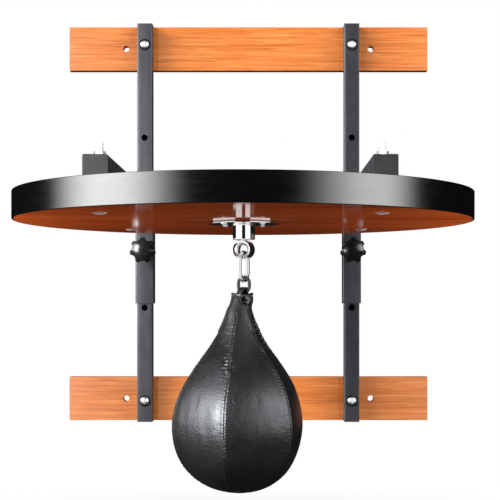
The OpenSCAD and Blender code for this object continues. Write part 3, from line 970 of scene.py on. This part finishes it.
def make_bag_cover(form, run, share):
    """The leather cover: one closed skin that runs up its inside, over the hem and down its outside."""
    normals = grid_normals(form)
    lift = sewn_detail(form, run, share) + lace_slit(form, run) + hem_flare(run)
    outer = form + normals * lift[:, :, None]
    # The plain inside needs fewer rings than the outside.
    picks = np.unique(np.hstack([np.arange(0, 40, 6), np.arange(40, FINE_ROWS, 14), FINE_ROWS - 1]))
    inner = (form - normals * WALL)[picks][::-1]
    rings = [*inner, *hem_points(outer[0], inner[-1]), *outer]
    inside_tip = rings[0].mean(0)
    outside_tip = rings[-1].mean(0) - 0.15 * UP
    points = np.vstack([*rings, inside_tip, outside_tip])
    columns = len(share)
    tip = len(rings) * columns
    final = tip - columns
    faces = turned_over(loop_faces(len(rings), columns))
    faces += [(k, tip, (k + 1) % columns) for k in range(columns)]
    faces += [(final + (k + 1) % columns, tip + 1, final + k) for k in range(columns)]
    return add_piece("bag_leather", points, faces, "leather", "bag_cover")


def make_bag():
    """The cover first, then what is sewn on it, the hanging loop and the bladder inside."""
    share = fine_shares()
    run = fine_runs()
    form = swollen(run, share)
    cover = make_bag_cover(form, run, share)
    cut_eyelet_holes(cover)
    skin = skin_of(form, run, share)
    add_piece("bag_seam_strips", *gather([seam_strip(skin, seam) for seam in range(PANELS)]), "leather")
    stitches = [one for seam in range(PANELS) for one in strip_stitches(skin, seam) + seam_stitches(skin, seam)]
    add_piece("bag_stitches", *gather(stitches), "lace")
    add_piece("bag_lacing", *gather(lace_cords(skin)), "lace", "bag_lace")
    make_strap()
    make_bladder()


# ---------------------------------------------------------------- stage

def nodes_of(*slots):
    """The CAD nodes whose record slot is one of these."""
    parts = frame["record"]["subparts"]
    return [frame["nodes"][part["node"]] for part in parts if part["material_slot"] in slots]


def add_area_light(name, location, target, size, power, lit):
    """A rectangular light of some watts that reaches only the lit pieces."""
    data = bpy.data.lights.new(name, "AREA")
    data.shape = "RECTANGLE"
    data.size = size[0]
    data.size_y = size[1]
    data.energy = power
    light = add_object(name, data)
    light.location = location
    light.rotation_euler = (Vector(target) - Vector(location)).to_track_quat("-Z", "Y").to_euler()
    group = bpy.data.collections.new(name + "_receivers")
    for piece in lit:
        group.objects.link(piece)
    light.light_linking.receiver_collection = group
    return light


def add_lights():
    """Lights for single finishes. The lacquer under the board doesn't mirror its own lights."""
    board = [frame["nodes"]["platform_board"]]
    caps = [frame["nodes"]["arm_end_caps"]]
    sleeve = [frame["nodes"]["right_sleeve"]]
    leather_skin = [bpy.data.objects["bag_leather"]]
    steel = nodes_of("powder_coat", "black_plastic", "knob_plastic")
    slats = nodes_of("varnished_wood")
    zinc = nodes_of("zinc")
    for name, x, y, power in (("under_left", -0.54, -0.42, 7.2), ("under_right", 0.56, -0.42, 7.4),
                              ("under_middle", -0.1, 0.0, 0.2)):
        light = add_area_light(name, (x, y, -0.22), (0.7 * x, -0.44, 0.0), (0.25, 0.25), power, board)
        light.visible_glossy = False
    add_area_light("steel_left", (-0.62, -0.50, 0.10), (-0.1, 0.0, 0.0), (0.3, 0.5), 11.0, steel)
    add_area_light("caps_left", (-0.45, -0.88, 0.10), (-0.19, -0.5, 0.03), (0.2, 0.3), 2.1, caps)
    for name, x, power in (("slat_left", -0.78, 12.0), ("slat_right", 0.84, 9.5)):
        light = add_area_light(name, (x, -1.95, 0.02), (x * 0.3, 0.0, 0.0), (0.24, 1.5), power, slats)
        light.data.color = (0.72, 0.88, 1.0)
    for name, x, power in (("zinc_left", -1.0, 13.0), ("zinc_right", 0.85, 10.0)):
        add_area_light(name, (x, -1.1, 0.1), (0.0, BAG_AXIS_Y, 0.0), (1.3, 1.5), power, zinc)
    add_area_light("sleeve_right", (0.60, -0.80, -0.35), (0.16, -0.02, -0.10), (0.3, 0.3), 2.0, sleeve)
    beside = (-0.70, BAG_AXIS_Y - 0.95, 0.0)
    light = add_area_light("leather_left", beside, (0.0, BAG_AXIS_Y, -0.27), (0.34, 0.5), 46.0, leather_skin)
    light.visible_diffuse = False
    add_area_light("zinc_front", (0.0, -1.9, 0.45), (0.0, -0.2, 0.05), (1.2, 0.5), 16.0, zinc)
    add_area_light("zinc_back", (0.0, 0.9, -0.30), (0.0, -0.3, 0.0), (1.6, 0.5), 4.0, zinc)


TENT_RADIUS = 0.064
TENT_CLOTH = (0.012, 0.012, 0.013)
TENT_FLOOR = (0.8, 0.8, 0.82)
# The studio mirrored by the bright metal round the swivel. Each light panel has the azimuths where it begins
# and ends, in degrees from the viewer's side towards +X, its brightness and colour, and how far below the board
# it hangs, in mm.
TENT_PANELS = (
    (-78.0, -17.0, 1.35, (1.0, 1.0, 1.0), 0.0),
    (14.0, 62.0, 1.35, (1.0, 0.98, 0.97), 0.0),
    (72.0, 118.0, 0.34, (0.62, 0.44, 0.38), 13.0),
    (-130.0, -74.0, 1.25, (1.0, 1.0, 1.0), 22.0),
    (160.0, 186.0, 0.55, (1.0, 1.0, 1.0), 13.0),
)


def add_card(name, rings, sides, finish):
    """A round stage surface about the bag's axis, from rings of radius and height. The camera doesn't see it."""
    angles = np.arange(sides) * TURN / sides
    points = [(radius * math.sin(angle), BAG_AXIS_Y - radius * math.cos(angle), height)
              for radius, height in rings for angle in angles]
    card = add_mesh(name, points, loop_faces(len(rings), sides))
    for sense in ("camera", "shadow", "transmission", "volume_scatter"):
        setattr(card, "visible_" + sense, False)
    card.data.materials.append(finish.material)
    return card


def add_tent():
    """A light tent round the swivel and the links. Only reflections from inside it see it, so it gives the
    bright metal crisp white and black bands and lights nothing else."""
    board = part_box("swivel_plate")[1].z
    bottom = BAG_TOP - 0.012
    cloth = Finish("tent")
    place = cloth.add("ShaderNodeSeparateXYZ", {0: cloth.place}).outputs
    forward = cloth.maths("SUBTRACT", BAG_AXIS_Y, place["Y"])
    azimuth = cloth.maths("MULTIPLY", cloth.maths("ARCTAN2", place["X"], forward), PER_RADIAN)
    colour = TENT_CLOTH
    for start, end, brightness, tint, below in TENT_PANELS:
        turned = azimuth
        if end > 180.0:
            behind = cloth.maths("LESS_THAN", azimuth, 0.0)
            turned = cloth.maths("ADD", azimuth, cloth.maths("MULTIPLY", behind, 360.0))
        rise = cloth.between(turned, start - 2.0, start + 2.0, smooth=True)
        drop = cloth.between(turned, end - 2.0, end + 2.0, 1.0, 0.0, smooth=True)
        shade = tuple(brightness * channel for channel in tint)
        level = board - (below - 1.0) * MM
        hung = cloth.between(place["Z"], level - 0.003, level, 1.0, 0.0, smooth=True)
        colour = cloth.mix(cloth.maths("MULTIPLY", cloth.maths("MULTIPLY", rise, drop), hung), colour, shade)
    at_floor = cloth.maths("LESS_THAN", place["Z"], bottom + 0.0002)
    path = cloth.add("ShaderNodeLightPath").outputs["Ray Length"]
    outside = cloth.add("ShaderNodeNewGeometry").outputs["Backfacing"]
    unseen = cloth.maths("MAXIMUM", outside, cloth.maths("GREATER_THAN", path, 2.1 * TENT_RADIUS))
    cloth.glow_or_clear(unseen, cloth.mix(at_floor, colour, TENT_FLOOR))
    rings = [(0.3 * TENT_RADIUS, bottom), (TENT_RADIUS, bottom), (TENT_RADIUS, board - 0.0005)]
    tent = add_card("tent", rings, 96, cloth)
    tent.visible_diffuse = False


def add_flag():
    """A dim cool glowing card under the board, seen from below by bounced light. It is a painted reflection, so
    that the bag's shoulders don't turn brown with the board's lit underside. A hole in its middle leaves the
    links their view of the board."""
    shoulder_reflection = Finish("flag")
    incoming = shoulder_reflection.add("ShaderNodeNewGeometry").outputs["Incoming"]
    upward = shoulder_reflection.add("ShaderNodeSeparateXYZ", {0: incoming}).outputs["Z"]
    # The dim cool glow is a painted reflection on the bag's shoulders.
    shoulder_reflection.glow_or_clear(shoulder_reflection.maths("GREATER_THAN", upward, 0.0), (0.020, 0.022, 0.028))
    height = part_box("swivel_plate")[0].z - 0.004
    add_card("flag", [(0.075, height), (0.29, height)], 64, shoulder_reflection)


# Soft boxes as patches of the world. Azimuth of the middle, from the viewer's side towards +X; from it, where
# the left edge and the right edge begin and end; the elevations where the lower edge and the upper edge begin
# and end; radiance. Angles are in degrees.
SOFT_BOXES = (
    (-64.0, (-42.0, -5.0), (4.0, 41.0), (-17.0, -5.0), (24.0, 46.0), 11.2),
    (62.0, (-38.0, 0.0), (7.0, 33.0), (-17.0, -5.0), (24.0, 46.0), 6.8),
    (180.0, (-60.0, -30.0), (30.0, 60.0), (22.0, 45.0), (70.0, 89.0), 0.6),
)
STUDIO_GLOW = 0.004
FLOOR_DROP = 0.36


def soft_box(nodes, azimuth, elevation, box):
    """Radiance of one soft box in the direction given by two node sockets, in degrees."""
    centre, left, right, low, high, radiance = box
    turned = nodes.maths("FLOORED_MODULO", nodes.maths("ADD", azimuth, 540.0 - centre), 360.0)
    away = nodes.maths("SUBTRACT", turned, 180.0)
    level = radiance
    for value, (start, end) in ((away, left), (elevation, low)):
        level = nodes.maths("MULTIPLY", level, nodes.between(value, start, end, smooth=True))
    for value, (start, end) in ((away, right), (elevation, high)):
        level = nodes.maths("MULTIPLY", level, nodes.between(value, start, end, 1.0, 0.0, smooth=True))
    return level


def set_world():
    """White to the camera; to everything else, a dark studio with soft boxes."""
    world = bpy.data.worlds.new("studio")
    bpy.context.scene.world = world
    world.use_nodes = True
    nodes = Nodes(world.node_tree, "Generated")
    place = nodes.add("ShaderNodeSeparateXYZ", {0: nodes.place}).outputs
    forward = nodes.maths("MULTIPLY", place["Y"], -1.0)
    azimuth = nodes.maths("MULTIPLY", nodes.maths("ARCTAN2", place["X"], forward), PER_RADIAN)
    elevation = nodes.maths("MULTIPLY", nodes.maths("ARCSINE", place["Z"]), PER_RADIAN)
    light = STUDIO_GLOW
    for box in SOFT_BOXES:
        light = nodes.maths("ADD", soft_box(nodes, azimuth, elevation, box), light)
    camera_ray = nodes.add("ShaderNodeLightPath").outputs["Is Camera Ray"]
    strength = nodes.maths("MAXIMUM", light, camera_ray)
    capped = nodes.add("ShaderNodeMix", {0: camera_ray, 2: strength, 3: 1.0}).outputs[0]
    background = nodes.add("ShaderNodeBackground", {"Color": (1.0, 1.0, 1.0), "Strength": capped})
    nodes.add("ShaderNodeOutputWorld", {0: background.outputs[0]})
    world.cycles.sampling_method = "MANUAL"
    world.cycles.sample_map_resolution = 512


def add_floor():
    """A pale floor well below the object that turns into the white backdrop with distance. To the object it is
    dark, like a studio floor outside the light."""
    floor_z = cad_low.z - FLOOR_DROP
    corners = [(x, y, floor_z) for x, y in ((-60.0, -60.0), (60.0, -60.0), (60.0, 60.0), (-60.0, 60.0))]
    floor = add_mesh("floor", corners, [(0, 1, 2, 3)])
    paint = Finish("floor", Roughness=0.6)
    camera_ray = paint.add("ShaderNodeLightPath").outputs["Is Camera Ray"]
    paint.set("Base Color", paint.mix(camera_ray, (0.01, 0.01, 0.01), (0.62, 0.62, 0.62)))
    offset = (0.0, -BAG_AXIS_Y, -floor_z)
    centred = paint.add("ShaderNodeVectorMath", {0: paint.place, 1: offset}, operation="ADD")
    distance = paint.add("ShaderNodeVectorMath", {0: centred.outputs[0]}, operation="LENGTH").outputs["Value"]
    far = paint.between(distance, 0.9, 2.3, smooth=True)
    strength = paint.between(camera_ray, 0.0, 1.0, 0.005, 1.0)
    glow = paint.add("ShaderNodeEmission", {"Strength": strength})
    mix = paint.add("ShaderNodeMixShader", {0: far, 1: paint.shader.outputs[0], 2: glow.outputs[0]})
    paint.feed(paint.output.inputs["Surface"], mix.outputs[0])
    floor.data.materials.append(paint.material)


def add_camera():
    data = bpy.data.cameras.new("camera")
    data.lens = 82.3
    data.sensor_width = 36.0
    data.shift_x = -0.0355
    data.shift_y = 0.102
    camera = add_object("camera", data)
    camera.location = (0.032, -1.915, -0.1285)
    camera.rotation_euler = (math.pi / 2, 0.0, 0.0)
    bpy.context.scene.camera = camera


# ---------------------------------------------------------------- build

dress_frame()
soften(["top_wall_board", "bottom_wall_board"], 1.2, 3)
soften(["platform_board", "rim_band"], 0.8, 3)
soften(["left_upright", "right_upright", "left_sleeve", "right_sleeve", "left_arm", "right_arm"], 0.35)
soften(["upright_end_caps", "arm_end_caps"], 0.6)
soften(["left_lock_knob", "right_lock_knob"], 0.7, 3)
soften(["swivel_plate", "swivel_housing", "swivel_collar_nut", "board_nuts", "lock_weld_nuts"], 0.4)
soften(["board_bolts", "board_washers", "upright_bolts", "upright_bolt_washers", "swivel_screws"], 0.25)
make_bag()
set_world()
add_lights()
add_tent()
add_flag()
add_floor()
add_camera()
bpy.context.scene.view_settings.view_transform = "Standard"
